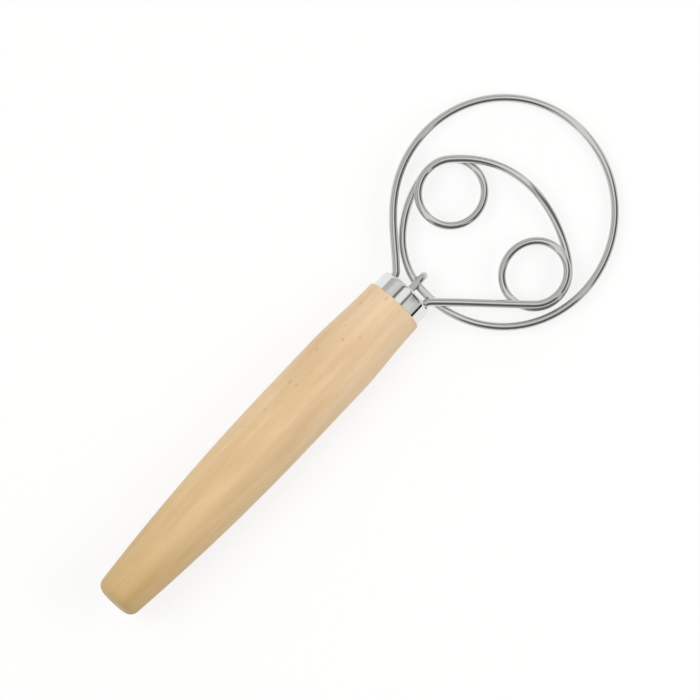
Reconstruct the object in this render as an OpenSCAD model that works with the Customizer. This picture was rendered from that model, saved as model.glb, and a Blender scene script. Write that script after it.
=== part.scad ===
// Dough whisk: a turned beech handle, a steel ferrule, one long bent wire and a staple.
// The handle lies along X with its flat butt at X = 0. The head's wire loops lie in the XY plane.
// All sizes are in millimetres.

/* [Handle] */
// Length of the turned wood from the flat butt to the ferrule
handle_length = 205.8; // [150:0.1:280]
// Diameter of the handle at its thickest part
grip_d = 35.8; // [28:0.1:44]
// Distance from the butt to the start of the thickest part
grip_start = 125; // [90:1:140]
// Length of the even, thickest part
grip_even_length = 37; // [10:1:40]
// Radius of the long swell between the butt and the thickest part
swell_radius = 1230; // [1000:10:2000]
// Radius of the rounded edge round the butt
butt_edge_radius = 5; // [2:0.1:7]
// Radius of the round fall from the thickest part towards the ferrule
fall_radius = 210; // [150:5:400]
// Length of that round fall along the handle
fall_length = 17; // [10:0.5:20]
// Radius of the hollow sweep that follows the fall
sweep_radius = 420; // [300:10:900]
// Radius of the small rounded edge where the wood meets the ferrule
neck_edge_radius = 0.9; // [0.4:0.1:1.5]

/* [Ferrule] */
// Outer diameter of the ferrule
ferrule_d = 29.6; // [27:0.1:31]
// Length of the ferrule along the handle
ferrule_length = 9.7; // [7:0.1:16]
// Thickness of the ferrule's side and end walls
ferrule_wall = 0.9; // [0.6:0.1:1.4]
// Outside radius of the ferrule's rounded shoulder
ferrule_shoulder = 2.2; // [1.2:0.1:2.6]
// Free space between the wooden tenon and the ferrule
tenon_clearance = 0.08; // [0.02:0.01:0.2]

/* [Wire] */
// Diameter of the whisk wire
wire_d = 4.1; // [2.5:0.1:4.4]
// Free space kept between two turns of the wire where they cross
wire_gap = 0.5; // [0.45:0.05:1]
// Radius of the bend at the wire's centre line where it leaves the ferrule
neck_bend_radius = 4.6; // [4.2:0.1:5.5]
// Angle between the handle and the run that starts the ring
ring_run_angle = 44.2; // [40:0.1:48]
// Angle between the handle and the run that comes back from the eyes
return_run_angle = 46; // [42:0.5:50]
// Sideways place of the hole for the run that starts the ring
ring_run_y = 9.9; // [9.5:0.1:10.5]
// Sideways place of the hole for the run that comes back, on the other side
return_run_y = 10.6; // [10:0.1:11]
// Length of wire held inside the ferrule and the handle at each end
wire_hold = 28; // [18:1:40]
// Free space round each wire in its bore
bore_clearance = 0.15; // [0.05:0.05:0.3]

/* [Ring] */
// Radius of the outer ring at the wire's centre line
ring_radius = 56.8; // [52:0.1:62]
// Distance from the ferrule's face to the ring wire's centre line
ring_standoff = 5.6; // [5.2:0.1:7]
// Sideways shift of the ring's centre towards the returning run
ring_shift = 7.9; // [6:0.1:9]
// How far the ring is drawn out along its longer diameter
ring_oval = 0.9; // [0:0.1:1.5]
// Direction of the ring's longer diameter
ring_oval_turn = 31; // [0:1:90]

/* [Eyes] */
// Radius of both eyes at the wire's centre line
eye_radius = 17.2; // [14:0.1:19]
// How far each eye is drawn out along the handle's direction
eye_oval = 0.45; // [0:0.05:1]
// Direction of the first eye from the ring's centre
first_eye_turn = 113.6; // [105:0.1:120]
// Distance between the centre lines of the first eye and the ring
first_eye_inset = 11.2; // [8:0.1:14]
// Direction of the second eye from the ring's centre
second_eye_turn = 249.7; // [245:0.1:255]
// Distance between the centre lines of the second eye and the ring
second_eye_inset = 5; // [4.8:0.1:8]
// How far the first eye tightens in one turn
first_eye_tighten = 0.5; // [0:0.1:1]
// How far the second eye tightens in one turn
second_eye_tighten = 1.2; // [0:0.1:2]

/* [Staple] */
// Diameter of the staple's wire
staple_d = 4; // [2.5:0.1:4.4]
// Free space between the staple and the ring wire that it holds
staple_gap = 0.5; // [0.2:0.05:0.8]
// How far the staple stands from the handle's axis, towards the returning run
staple_shift = 0.5; // [0:0.1:2]
// Free space between the top of the ring wire and the inside of the staple's bend
staple_play = 0.8; // [0:0.1:1.5]
// Length of each staple leg inside the ferrule and the handle
staple_hold = 18; // [10:1:28]

/* [Hidden] */
// Derived places along the handle
face_x = handle_length + ferrule_length;
grip_r = grip_d / 2;
grip_end = grip_start + grip_even_length;
fall_end = grip_end + fall_length;
ferrule_r = ferrule_d / 2;
tenon_r = ferrule_r - ferrule_wall - tenon_clearance;
tenon_end = face_x - ferrule_wall - tenon_clearance;
// Levels of the wire above and below the whisk's middle plane
level = (wire_d + wire_gap) / 2;
wire_r = wire_d / 2;
// A loop is its centre, radius, oval, oval direction, tightening per turn and start angle
ring = [face_x + ring_standoff + ring_radius, -ring_shift, ring_radius, ring_oval, ring_oval_turn, 0, 0];
ring_start = 106.7;
ring_end = -182.5;
eye_in = 62.9;
eye_out = 46.1 - 360;
second_in = -48;
second_out = -139.5 - 360;
first_reach = ring_radius - eye_radius - first_eye_inset;
second_reach = ring_radius - eye_radius - second_eye_inset;
first_eye = [
    ring[0] + first_reach * cos(first_eye_turn), ring[1] + first_reach * sin(first_eye_turn),
    eye_radius, eye_oval, 0, -first_eye_tighten, eye_in
];
second_eye = [
    ring[0] + second_reach * cos(second_eye_turn), ring[1] + second_reach * sin(second_eye_turn),
    eye_radius, eye_oval, 0, -second_eye_tighten, second_in
];
// Facets: the wire's sides and the smoothness of turned shapes
wire_sides = 14;
turned_fn = 96;
sweep_fn = 720;
cut = 1;

// A value that eases from 0 to 1 as t goes from 0 to 1
function ease(t) = let (c = max(0, min(1, t))) c * c * (3 - 2 * c);

// A point on a loop at angle a
function loop_at(l, a) =
    let (r = l[2] + l[3] * cos(2 * (a - l[4])) + l[5] * (l[6] - a) / 360)
    [l[0] + r * cos(a), l[1] + r * sin(a)];

// The way a clockwise traveller faces on a loop at angle a
function heading(l, a) = let (d = loop_at(l, a - 1) - loop_at(l, a + 1)) d / norm(d);

// Points of a free bend from p to q that leaves along u and arrives along v
function free_bend(p, u, q, v, reach_p, reach_q, steps) =
    let (span = norm(q - p), a = p + u * span * reach_p, b = q - v * span * reach_q)
    [for (i = [1:steps - 1]) let (t = i / steps, s = 1 - t)
        s * s * s * p + 3 * s * s * t * a + 3 * s * t * t * b + t * t * t * q];

// Lifts flat points from height z0 to z1, easing between the shares t0 and t1 of their count
function lifted(points, z0, z1, t0, t1) =
    [for (i = [0:len(points) - 1])
        let (t = (i / (len(points) - 1) - t0) / (t1 - t0))
        [points[i][0], points[i][1], z0 + (z1 - z0) * ease(t)]];

// Points of a loop from angle a0 down to a1
function loop_points(l, a0, a1, steps) =
    [for (i = [0:steps]) loop_at(l, a0 + (a1 - a0) * i / steps)];

// Points of the bend that turns a wire from the handle's direction to an angle, side = 1 or -1
function neck_bend(y, angle, side, steps) =
    [for (i = [0:steps]) let (a = angle * i / steps)
        [face_x + neck_bend_radius * sin(a), side * (y + neck_bend_radius * (1 - cos(a)))]];

// The wire's route, from the end that starts the ring to the end that comes back from the eyes
bend_steps = 6;
ring_bend = neck_bend(ring_run_y, ring_run_angle, 1, bend_steps);
return_bend = neck_bend(return_run_y, return_run_angle, -1, bend_steps);
ring_run = free_bend(ring_bend[bend_steps], [cos(ring_run_angle), sin(ring_run_angle)],
    loop_at(ring, ring_start), heading(ring, ring_start), 0.3, 0.4, 14);
inner_run = free_bend(loop_at(ring, ring_end), heading(ring, ring_end),
    loop_at(first_eye, eye_in), heading(first_eye, eye_in), 0.5, 0.18, 22);
bow = free_bend(loop_at(first_eye, eye_out), heading(first_eye, eye_out),
    loop_at(second_eye, second_in), heading(second_eye, second_in), 0.54, 0.2, 24);
return_run = free_bend(loop_at(second_eye, second_out), heading(second_eye, second_out),
    return_bend[bend_steps], [-cos(return_run_angle), sin(return_run_angle)], 0.33, 0.33, 12);

route = concat(
    [[face_x - wire_hold, ring_run_y, 0], [face_x - wire_d, ring_run_y, 0]],
    lifted(ring_bend, 0, 0, 0, 1),
    lifted(ring_run, 0, 0, 0, 1),
    lifted(loop_points(ring, ring_start, ring_end, 66), 0, -level, 0.1, 0.8),
    lifted(inner_run, -level, -level, 0, 1),
    lifted(loop_points(first_eye, eye_in, eye_out, 54), -level, level, 0.16, 0.68),
    lifted(bow, level, -level, 0.3, 0.8),
    lifted(loop_points(second_eye, second_in, second_out, 62), -level, level, 0.32, 0.64),
    lifted(return_run, level, level, 0, 1),
    [for (i = [bend_steps:-1:0]) [return_bend[i][0], return_bend[i][1], level]],
    [[face_x - wire_d, -return_run_y, level], [face_x - wire_hold, -return_run_y, level]]
);

// The least free space between two parts of the wire that are not neighbours
neighbours = 8;
self_gap = min([for (i = [0:len(route) - neighbours - 1])
    min([for (j = [i + neighbours:len(route) - 1]) norm(route[i] - route[j])])]) - wire_d;
echo(wire_self_gap_mm = self_gap, wire_points = len(route));

// The staple stands where the ring wire passes its side place, at that wire's height
staple_y = -staple_shift;
staple_r = staple_d / 2;
staple_bend_r = wire_r + staple_gap + staple_r;
held_x = lookup(staple_y, [for (p = concat([loop_at(ring, ring_end)], inner_run)) [p[1], p[0]]]);
staple_x = held_x + staple_play;
staple_z = -level;

// Draws its children turned so that their Z axis runs along the handle
module along_handle() {
    rotate([0, 90, 0]) children();
}

// A plain round bore along the handle from x0 to x1
module bore(x0, x1, y, z, d) {
    translate([x0, y, z]) along_handle() cylinder(h = x1 - x0, d = d, $fn = turned_fn / 2);
}

// All four bores that hold the wire ends and the staple's legs
module neck_bores() {
    wire_bore = wire_d + 2 * bore_clearance;
    staple_bore = staple_d + 2 * bore_clearance;
    bore(face_x - wire_hold - cut, face_x + cut, ring_run_y, 0, wire_bore);
    bore(face_x - wire_hold - cut, face_x + cut, -return_run_y, level, wire_bore);
    for (side = [-1, 1])
        bore(face_x - staple_hold - cut, face_x + cut, staple_y, staple_z + side * staple_bend_r,
            staple_bore);
}

// Points of the handle's outline, as [radius, length], from the butt to the ferrule
edge_steps = 8;
swell_steps = 30;
fall_steps = 8;
sweep_steps = 10;
swell_x = grip_r - swell_radius;
edge_tilt = asin((grip_start - butt_edge_radius) / (swell_radius - butt_edge_radius));
edge_x = swell_x + (swell_radius - butt_edge_radius) * cos(edge_tilt);
fall_tilt = asin(fall_length / fall_radius);
sweep_tilt = fall_tilt - (handle_length - neck_edge_radius - fall_end) / sweep_radius * 180 / PI;
sweep_x = grip_r - fall_radius + (fall_radius + sweep_radius) * cos(fall_tilt);
sweep_y = grip_end + (fall_radius + sweep_radius) * sin(fall_tilt);
neck_r = sweep_x - sweep_radius * cos(sweep_tilt);
butt_edge = [for (i = [0:edge_steps]) let (a = -90 + (90 - edge_tilt) * i / edge_steps)
    [edge_x + butt_edge_radius * cos(a), butt_edge_radius + butt_edge_radius * sin(a)]];
swell = [for (i = [1:swell_steps]) let (a = -edge_tilt * (1 - i / swell_steps))
    [swell_x + swell_radius * cos(a), grip_start + swell_radius * sin(a)]];
fall = [for (i = [0:fall_steps]) let (a = fall_tilt * i / fall_steps)
    [grip_r - fall_radius + fall_radius * cos(a), grip_end + fall_radius * sin(a)]];
sweep = [for (i = [1:sweep_steps]) let (a = fall_tilt + (sweep_tilt - fall_tilt) * i / sweep_steps)
    [sweep_x - sweep_radius * cos(a), sweep_y - sweep_radius * sin(a)]];
neck_edge = [for (i = [1:edge_steps]) let (a = 90 * i / edge_steps)
    [neck_r - neck_edge_radius * (1 - cos(a)), sweep[sweep_steps - 1][1] + neck_edge_radius * sin(a)]];
neck_y = neck_edge[edge_steps - 1][1];

// Half section of the turned handle with its tenon, radius to the right and length upwards
module handle_section() {
    polygon(concat(
        [[0, 0]], butt_edge, swell, fall, sweep, neck_edge,
        [[tenon_r, neck_y], [tenon_r, tenon_end], [0, tenon_end]]
    ));
}

// Turned beech handle with a tenon for the ferrule and blind bores for the wires
module handle() {
    color("burlywood") difference() {
        along_handle() rotate_extrude($fn = turned_fn) handle_section();
        neck_bores();
    }
}

// Drawn steel cap over the tenon, with a rounded shoulder and a pierced end
module ferrule() {
    shoulder_x = ferrule_r - ferrule_shoulder;
    shoulder_y = ferrule_length - ferrule_shoulder;
    color("silver") difference() {
        translate([handle_length, 0, 0]) along_handle() rotate_extrude($fn = turned_fn) {
            square([ferrule_r, shoulder_y]);
            square([shoulder_x, ferrule_length]);
            translate([shoulder_x, shoulder_y]) intersection() {
                circle(r = ferrule_shoulder, $fn = turned_fn);
                square(ferrule_shoulder);
            }
        }
        translate([handle_length - cut, 0, 0]) along_handle()
            cylinder(h = ferrule_length - ferrule_wall + cut, r = ferrule_r - ferrule_wall, $fn = turned_fn);
        neck_bores();
    }
}

// One unbroken round wire along the route
module whisk_wire() {
    n = len(route);
    rings = [for (i = [0:n - 1])
        let (
            ahead = route[min(i + 1, n - 1)] - route[max(i - 1, 0)],
            t = ahead / norm(ahead),
            flat = cross(t, [0, 0, 1]),
            side = flat / norm(flat),
            up = cross(side, t)
        )
        for (k = [0:wire_sides - 1])
            let (a = 360 * k / wire_sides) route[i] + wire_r * (cos(a) * side + sin(a) * up)];
    skin = [for (i = [0:n - 2], k = [0:wire_sides - 1])
        let (j = (k + 1) % wire_sides)
        [i * wire_sides + k, (i + 1) * wire_sides + k, (i + 1) * wire_sides + j, i * wire_sides + j]];
    first_cap = [for (k = [0:wire_sides - 1]) k];
    last_cap = [for (k = [wire_sides - 1:-1:0]) (n - 1) * wire_sides + k];
    color("gainsboro") polyhedron(points = rings, faces = concat(skin, [first_cap, last_cap]));
}

// U-shaped staple over the ring wire, with both legs driven into the handle
module retaining_staple() {
    leg = staple_x - face_x + staple_hold;
    color("lightgray") translate([staple_x, staple_y, staple_z]) {
        rotate([90, 0, 0]) rotate([0, 0, -90]) rotate_extrude(angle = 180, $fn = turned_fn)
            translate([staple_bend_r, 0]) circle(r = staple_r, $fn = turned_fn / 2);
        for (side = [-1, 1])
            translate([-leg, 0, side * staple_bend_r]) along_handle()
                cylinder(h = leg, r = staple_r, $fn = turned_fn / 2);
    }
}

handle();
ferrule();
whisk_wire();
retaining_staple();
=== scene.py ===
import math

import bmesh
import bpy
from mathutils import Matrix, Vector


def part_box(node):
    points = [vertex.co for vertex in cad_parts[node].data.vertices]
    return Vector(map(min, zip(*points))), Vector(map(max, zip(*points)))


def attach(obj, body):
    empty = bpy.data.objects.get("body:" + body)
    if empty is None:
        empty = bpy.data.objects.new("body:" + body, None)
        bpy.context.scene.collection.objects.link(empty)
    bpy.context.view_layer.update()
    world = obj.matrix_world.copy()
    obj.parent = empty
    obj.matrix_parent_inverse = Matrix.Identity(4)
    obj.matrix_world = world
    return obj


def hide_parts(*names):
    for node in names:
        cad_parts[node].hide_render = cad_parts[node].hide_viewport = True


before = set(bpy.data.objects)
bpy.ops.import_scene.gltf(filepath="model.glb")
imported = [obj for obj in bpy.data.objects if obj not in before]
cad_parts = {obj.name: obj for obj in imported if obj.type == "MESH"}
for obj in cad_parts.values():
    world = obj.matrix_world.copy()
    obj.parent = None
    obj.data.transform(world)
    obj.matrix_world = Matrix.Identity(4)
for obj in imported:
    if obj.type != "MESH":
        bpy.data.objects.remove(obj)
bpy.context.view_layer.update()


# Camera: looks down on the wire loops as the photograph does, with the head
# leaning a little away and the handle rising from the lower left to the upper
# right. A long lens from far off keeps the ring round.
LEAN = math.radians(7.5)
RISE = math.radians(46.617)
AIM = Vector((0.17367, 0.00079, 0.0))
DISTANCE = 8.0
VIEW_WIDTH = 0.35
SENSOR_MM = 36.0
NEAREST = 0.1
FARTHEST = 30.0

along = Vector((math.cos(LEAN), 0.0, math.sin(LEAN)))
across = Vector((0.0, 1.0, 0.0))
towards = Vector((-math.sin(LEAN), 0.0, math.cos(LEAN)))
right = along * math.cos(RISE) - across * math.sin(RISE)
up = along * math.sin(RISE) + across * math.cos(RISE)

lens = bpy.data.cameras.new("camera")
lens.sensor_width = SENSOR_MM
lens.lens = SENSOR_MM * DISTANCE / VIEW_WIDTH
lens.clip_start = NEAREST
lens.clip_end = FARTHEST
camera = bpy.data.objects.new("camera", lens)
bpy.context.scene.collection.objects.link(camera)
camera.matrix_world = Matrix.Translation(AIM + towards * DISTANCE) @ Matrix(
    (right, up, towards)).transposed().to_4x4()
bpy.context.scene.camera = camera
bpy.context.scene.view_settings.view_transform = "Standard"


# Floor: one plain board painted matt white. The whisk lies on the belly of its
# handle and on the far side of its ring, so the board leans against both.
FLOOR_SIZE = 12.0
FLOOR_GAP = 0.0004
BELLY_X = 0.1435
FLOOR_WHITE = "F4F4F2"
# The camera and the steel see the paint mixed with this share of an even white glow, and the
# shadow stays
GLOW_SHARE = 0.75
GLOW = 1.02


def linear(code):
    """The linear colour, with alpha 1, of an sRGB hex code."""
    channels = [int(code[i:i + 2], 16) / 255 for i in (0, 2, 4)]
    return [c / 12.92 if c <= 0.04045 else ((c + 0.055) / 1.055) ** 2.4 for c in channels] + [1.0]


def add(tree, kind, settings=None, values=None, links=None, stops=None):
    """Adds a node with its settings, input values, links and, on a colour ramp, (place, hex colour) stops."""
    node = tree.nodes.new(kind)
    for name, value in (settings or {}).items():
        setattr(node, name, value)
    for name, value in (values or {}).items():
        node.inputs[name].default_value = value
    for name, source in (links or {}).items():
        tree.links.new(source, node.inputs[name])
    if stops:
        elements = node.color_ramp.elements
        elements[0].position, elements[0].color = stops[0][0], linear(stops[0][1])
        elements[1].position, elements[1].color = stops[-1][0], linear(stops[-1][1])
        for place, code in stops[1:-1]:
            elements.new(place).color = linear(code)
    return node


def new_material(name):
    """An empty material and its node tree."""
    material = bpy.data.materials.new(name)
    material.use_nodes = True
    material.node_tree.nodes.clear()
    return material, material.node_tree


handle_low, handle_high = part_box("handle")
wire_low, wire_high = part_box("whisk_wire")
drop = (wire_low.z - handle_low.z) / (wire_high.x - BELLY_X)
floor_mesh = bpy.data.meshes.new("floor")
bm = bmesh.new()
bmesh.ops.create_grid(bm, x_segments=1, y_segments=1, size=FLOOR_SIZE / 2)
bmesh.ops.rotate(bm, verts=bm.verts, cent=(0, 0, 0),
                 matrix=Matrix.Rotation(-math.atan(drop), 3, "Y"))
bmesh.ops.translate(bm, verts=bm.verts, vec=(BELLY_X, 0, handle_low.z - FLOOR_GAP))
bm.to_mesh(floor_mesh)
bm.free()
floor = bpy.data.objects.new("floor", floor_mesh)
bpy.context.scene.collection.objects.link(floor)
board, tree = new_material("painted_board")
path = add(tree, "ShaderNodeLightPath")
matt = add(tree, "ShaderNodeBsdfDiffuse", values={"Color": linear(FLOOR_WHITE)})
glow = add(tree, "ShaderNodeEmission", values={"Color": linear("FFFFFF"), "Strength": GLOW})
direct = path.outputs["Is Camera Ray"]
for ray in ("Is Glossy Ray", "Is Transmission Ray"):
    direct = add(tree, "ShaderNodeMath", {"operation": "MAXIMUM"},
                 links={0: direct, 1: path.outputs[ray]}).outputs[0]
seen = add(tree, "ShaderNodeMath", {"operation": "MULTIPLY"}, {1: GLOW_SHARE}, {0: direct})
lit = add(tree, "ShaderNodeMixShader",
          links={"Fac": seen.outputs[0], 1: matt.outputs[0], 2: glow.outputs[0]})
add(tree, "ShaderNodeOutputMaterial", links={"Surface": lit.outputs[0]})
floor_mesh.materials.append(board)


# Studio: a light room whose strips and flags show as stripes along the
# ferrule and as dark edges on the round wire. Two soft panels light the wood,
# and the steel doesn't reflect them.
WORLD_STRENGTH = 1.05
# Grey of the room by degrees round the handle's axis from straight up, positive towards the
# first eye: a black flag near the floor, a thin grey strip on each side of a white window
# overhead, and a grey wall
ROOM_STRIPES = [
    (-180, "C4C4C2"), (-108, "BEBEBC"), (-98, "303030"), (-90, "303030"), (-84, "ECECEA"),
    (-50, "F2F2F0"), (-24, "E6E6E4"), (-18, "747474"), (-15, "747474"), (-9, "FAFAF8"),
    (15, "FAFAF8"), (22, "707070"), (26, "707070"), (33, "D6D6D4"), (55, "E0E0DE"),
    (70, "C0C0BE"), (96, "C0C0BE"), (112, "C8C8C6"), (180, "C8C8C6")]
# A round dark flag hangs low across from the first eye and reaches a little above the floor
FLAG_SIDE = Vector((-0.205, -0.679, -0.707))
FLAG_REACH = math.radians(60)
FLAG_EDGE = 0.03
# A grey card stands on that side too, with a slit where the ferrule's long side looks
CARD_TONE = "5E5E5E"
SLIT_X = 0.13

world = bpy.data.worlds.new("studio")
bpy.context.scene.world = world
world.use_nodes = True
tree = world.node_tree
tree.nodes.clear()
where = add(tree, "ShaderNodeTexCoord").outputs["Generated"]
split = add(tree, "ShaderNodeSeparateXYZ", links={"Vector": where})
turn = add(tree, "ShaderNodeMath", {"operation": "ARCTAN2"},
           links={0: split.outputs["Y"], 1: split.outputs["Z"]})
turn_share = add(tree, "ShaderNodeMapRange", values={"From Min": -math.pi, "From Max": math.pi},
                 links={"Value": turn.outputs[0]})
stripes = add(tree, "ShaderNodeValToRGB", links={"Fac": turn_share.outputs[0]},
              stops=[(0.5 + degrees / 360, code) for degrees, code in ROOM_STRIPES])
nearness = add(tree, "ShaderNodeVectorMath", {"operation": "DOT_PRODUCT"}, {1: FLAG_SIDE}, {0: where})
flag_share = add(tree, "ShaderNodeMapRange", values={"From Min": -1.0, "From Max": 1.0},
                 links={"Value": nearness.outputs["Value"]})
flag_rim = (1 + math.cos(FLAG_REACH)) / 2
flag = add(tree, "ShaderNodeValToRGB", links={"Fac": flag_share.outputs[0]}, stops=[
    (0.0, "FFFFFF"), (0.45, "F0F0F0"), (flag_rim - FLAG_EDGE, "DCDCDC"), (flag_rim, "303030"),
    (1.0, "303030")])
room = add(tree, "ShaderNodeMix", {"data_type": "RGBA", "blend_type": "MULTIPLY"}, {0: 1.0},
           {6: stripes.outputs[0], 7: flag.outputs[0]})
off_slit = add(tree, "ShaderNodeMath", {"operation": "SUBTRACT"}, {1: SLIT_X}, {0: split.outputs["X"]})
slit_distance = add(tree, "ShaderNodeMath", {"operation": "ABSOLUTE"}, links={0: off_slit.outputs[0]})
# The card's soft edges, each with where it ends and where it is full: below, above, side and slit
card_edges = [
    (split.outputs["Z"], 0.3, 0.38), (split.outputs["Z"], 0.92, 0.84),
    (split.outputs["Y"], -0.25, -0.35), (slit_distance.outputs[0], 0.04, 0.08)]
card = None
for direction, ends, full in card_edges:
    edge = add(tree, "ShaderNodeMapRange", values={"From Min": ends, "From Max": full},
               links={"Value": direction}).outputs[0]
    if card:
        edge = add(tree, "ShaderNodeMath", {"operation": "MULTIPLY"}, links={0: card, 1: edge}).outputs[0]
    card = edge
carded_room = add(tree, "ShaderNodeMix", {"data_type": "RGBA"}, {7: linear(CARD_TONE)},
                  {0: card, 6: room.outputs[2]})
air = add(tree, "ShaderNodeBackground", values={"Strength": WORLD_STRENGTH},
          links={"Color": carded_room.outputs[2]})
add(tree, "ShaderNodeOutputWorld", links={"Surface": air.outputs[0]})


def panel(name, place, size, watts):
    """A square soft panel at place that faces the whisk and doesn't show in the steel."""
    light = bpy.data.lights.new(name, "AREA")
    light.size = size
    light.energy = watts
    lamp = bpy.data.objects.new(name, light)
    bpy.context.scene.collection.objects.link(lamp)
    lamp.location = place
    lamp.visible_glossy = False
    lamp.rotation_euler = (AIM - Vector(place)).to_track_quat("-Z", "Y").to_euler()


panel("key_panel", place=(-0.5, 0.7, 1.5), size=0.9, watts=10.8)
panel("fill_panel", place=(0.9, -0.9, 1.2), size=1.1, watts=11.0)


# Handle: beech turned on a lathe, sanded and rubbed with oil. The butt is cut
# flat with a rounded edge, and the wood steps down inside the ferrule.
CREASE_DEGREES = 35
MERGE_WITHIN = 1e-6


def smooth_copy(node, name, crease_degrees):
    """A copy of a CAD node, merged and smooth up to a crease, which stands for the node."""
    piece = bpy.data.objects.new(name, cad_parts[node].data.copy())
    piece.data.materials.clear()
    bpy.context.scene.collection.objects.link(piece)
    bm = bmesh.new()
    bm.from_mesh(piece.data)
    bmesh.ops.remove_doubles(bm, verts=bm.verts, dist=MERGE_WITHIN)
    for face in bm.faces:
        face.smooth = True
    crease = math.radians(crease_degrees)
    for edge in bm.edges:
        edge.smooth = edge.is_manifold and edge.calc_face_angle(0.0) < crease
    bm.to_mesh(piece.data)
    bm.free()
    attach(piece, "root")
    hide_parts(node)
    return piece


def per_mm(across_mm, stretch):
    """Pattern scale with one feature in across_mm across the handle and stretch times that along it."""
    unit = 1000.0 / across_mm
    return (unit / stretch, unit, unit)


handle = smooth_copy("handle", "turned_handle", CREASE_DEGREES)

# Oiled beech is pale, warm and nearly matt. It is a little darker towards the butt, with broad
# soft bands along the grain, fibres that are drawn wider than the real ones so that they show,
# and small brown flecks, most of them near the head on the side of the first eye.
BEECH_BY_LENGTH = [(0.0, "CEAF7B"), (0.3, "DFC092"), (0.72, "E9CDA7"), (1.0, "EACEAB")]
BAND_MM = 12.0
BAND_STRETCH = 9.0
BAND_SHARE = 0.7
BAND_TONES = [(0.3, "E9DCC8"), (0.55, "FFFFFF"), (0.75, "F3E9DA")]
FIBRE_MM = 0.9
FIBRE_STRETCH = 40.0
FIBRE_SHARE = 0.16
FIBRE_TONES = [(0.3, "EADCC6"), (0.6, "FFFFFF")]
FIBRE_DEPTH = 0.0002
FLECK_MM = 3.4
FLECK_STRETCH = 2.8
FLECK_SPREAD = 0.07
FLECK_TONES = [(0.0, "A87C4C"), (0.11, "C89C6A"), (0.2, "FFFFFF")]
FLECK_SIDE_Y = 0.008

beech, tree = new_material("oiled_beech")
spot = add(tree, "ShaderNodeTexCoord").outputs["Object"]
spot_parts = add(tree, "ShaderNodeSeparateXYZ", links={"Vector": spot})
share = add(tree, "ShaderNodeMapRange", values={"From Min": 0.0, "From Max": handle_high.x},
            links={"Value": spot_parts.outputs["X"]}).outputs[0]
base = add(tree, "ShaderNodeValToRGB", links={"Fac": share}, stops=BEECH_BY_LENGTH)
band_spot, fibre_spot, fleck_spot = [
    add(tree, "ShaderNodeMapping", values={"Scale": scale}, links={"Vector": spot}).outputs[0]
    for scale in (per_mm(BAND_MM, BAND_STRETCH), per_mm(FIBRE_MM, FIBRE_STRETCH),
                  per_mm(FLECK_MM, FLECK_STRETCH))]
bands = add(tree, "ShaderNodeTexNoise", values={"Scale": 1.0, "Detail": 3.0, "Roughness": 0.55},
            links={"Vector": band_spot})
fibres = add(tree, "ShaderNodeTexNoise", values={"Scale": 1.0, "Detail": 4.0, "Roughness": 0.6},
             links={"Vector": fibre_spot})
flecks = add(tree, "ShaderNodeTexVoronoi", values={"Scale": 1.0, "Randomness": 1.0},
             links={"Vector": fleck_spot})
colour = base.outputs[0]
for grain, tones, strength in ((bands, BAND_TONES, BAND_SHARE), (fibres, FIBRE_TONES, FIBRE_SHARE)):
    tone = add(tree, "ShaderNodeValToRGB", links={"Fac": grain.outputs[0]}, stops=tones)
    colour = add(tree, "ShaderNodeMix", {"data_type": "RGBA", "blend_type": "MULTIPLY"},
                 {0: strength}, {6: colour, 7: tone.outputs[0]}).outputs[2]
# A random part is added to each fleck's own distance, so most flecks are small or don't show
fleck_size = add(tree, "ShaderNodeMath", {"operation": "MULTIPLY_ADD"}, {1: FLECK_SPREAD},
                 {0: flecks.outputs["Color"], 2: flecks.outputs["Distance"]})
fleck_tone = add(tree, "ShaderNodeValToRGB", links={"Fac": fleck_size.outputs[0]}, stops=FLECK_TONES)
fleck_along = add(tree, "ShaderNodeMapRange",
                  values={"From Min": 0.45, "From Max": 0.75, "To Min": 0.2},
                  links={"Value": share})
fleck_side = add(tree, "ShaderNodeMapRange",
                 values={"From Min": 0.0, "From Max": FLECK_SIDE_Y, "To Min": 0.15, "To Max": 0.7},
                 links={"Value": spot_parts.outputs["Y"]})
fleck_share = add(tree, "ShaderNodeMath", {"operation": "MULTIPLY"},
                  links={0: fleck_along.outputs[0], 1: fleck_side.outputs[0]})
colour = add(tree, "ShaderNodeMix", {"data_type": "RGBA", "blend_type": "MULTIPLY"},
             links={0: fleck_share.outputs[0], 6: colour, 7: fleck_tone.outputs[0]}).outputs[2]
grain_bump = add(tree, "ShaderNodeBump", values={"Strength": 0.1, "Distance": FIBRE_DEPTH},
                 links={"Height": fibres.outputs[0]})
wood = add(tree, "ShaderNodeBsdfPrincipled",
           values={"Roughness": 0.55, "IOR": 1.5, "Coat Weight": 0.08, "Coat Roughness": 0.4},
           links={"Base Color": colour, "Normal": grain_bump.outputs[0]})
add(tree, "ShaderNodeOutputMaterial", links={"Surface": wood.outputs[0]})
handle.data.materials.append(beech)


# Ferrule: a cap drawn from stainless sheet and polished, with a rounded
# shoulder, pressed over the handle's tenon.
MARK_DEPTH = 0.00005


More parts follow.
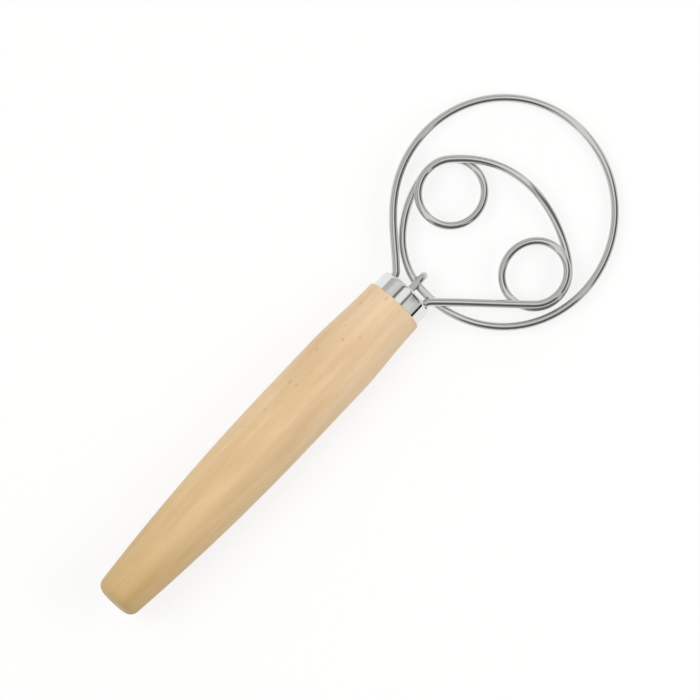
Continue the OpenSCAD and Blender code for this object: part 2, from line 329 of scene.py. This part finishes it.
def stainless(name, code, roughness, mark_mm, stretch, bump):
    """Stainless steel with faint marks, mark_mm wide and stretch times that long along the handle."""
    material, tree = new_material(name)
    spot = add(tree, "ShaderNodeTexCoord").outputs["Object"]
    mark_spot = add(tree, "ShaderNodeMapping", values={"Scale": per_mm(mark_mm, stretch)},
                    links={"Vector": spot})
    marks = add(tree, "ShaderNodeTexNoise", values={"Scale": 1.0, "Detail": 3.0, "Roughness": 0.6},
                links={"Vector": mark_spot.outputs[0]})
    gloss = add(tree, "ShaderNodeMapRange",
                values={"From Min": 0.3, "From Max": 0.7,
                        "To Min": roughness * 0.8, "To Max": roughness * 1.25},
                links={"Value": marks.outputs[0]})
    relief = add(tree, "ShaderNodeBump", values={"Strength": bump, "Distance": MARK_DEPTH},
                 links={"Height": marks.outputs[0]})
    steel = add(tree, "ShaderNodeBsdfPrincipled",
                values={"Base Color": linear(code), "Metallic": 1.0},
                links={"Roughness": gloss.outputs[0], "Normal": relief.outputs[0]})
    add(tree, "ShaderNodeOutputMaterial", links={"Surface": steel.outputs[0]})
    return material


ferrule = smooth_copy("ferrule", "drawn_ferrule", CREASE_DEGREES)
# Polished sheet is the brightest steel here, and its stripes have sharp edges. Its marks are
# drawn coarser than real polishing marks, so that a trace of them shows.
ferrule.data.materials.append(
    stainless("polished_ferrule_steel", "E6E6E4", roughness=0.07, mark_mm=0.5, stretch=8.0, bump=0.02))


# Wire: one length of bright drawn stainless wire, bent cold into the ring and
# the two eyes, with both ends in the handle.
ROUND_CREASE_DEGREES = 60
END_DEPTH = 0.0005
# Subdivision pulls a 14-sided tube in by about 3.3 percent, so the tube is let out first
LET_OUT = 0.033

wire = smooth_copy("whisk_wire", "bent_whisk_wire", ROUND_CREASE_DEGREES)
bm = bmesh.new()
bm.from_mesh(wire.data)
end_ys = [v.co.y for v in bm.verts if v.co.x < wire_low.x + END_DEPTH and v.co.y > 0]
wire_radius = (max(end_ys) - min(end_ys)) / 2
bmesh.ops.join_triangles(bm, faces=bm.faces, angle_face_threshold=math.radians(20),
                         angle_shape_threshold=math.radians(60))
bm.normal_update()
for vert in bm.verts:
    vert.co += vert.normal * wire_radius * LET_OUT
bm.to_mesh(wire.data)
bm.free()
for polygon in wire.data.polygons:
    polygon.use_smooth = True
rounded = wire.modifiers.new("rounded", "SUBSURF")
rounded.levels = rounded.render_levels = 1
# The wire's steel is given a greyer colour than the polished sheet as painted shade, standing for the darker
# reflections among the wire's own loops; its faint marks have no direction
wire_steel_painted_shade = stainless("bright_drawn_wire_painted_shade", "D0D0CE", roughness=0.08, mark_mm=0.35, stretch=1.0, bump=0.04)
wire.data.materials.append(wire_steel_painted_shade)


# Staple: a short U of the same drawn wire, driven into the handle over the ring
# wire, which it holds to the ferrule.
staple = smooth_copy("retaining_staple", "ring_staple", ROUND_CREASE_DEGREES)
# The staple gets the same steel, with the same painted shade in its greyer colour
staple.data.materials.append(wire_steel_painted_shade)
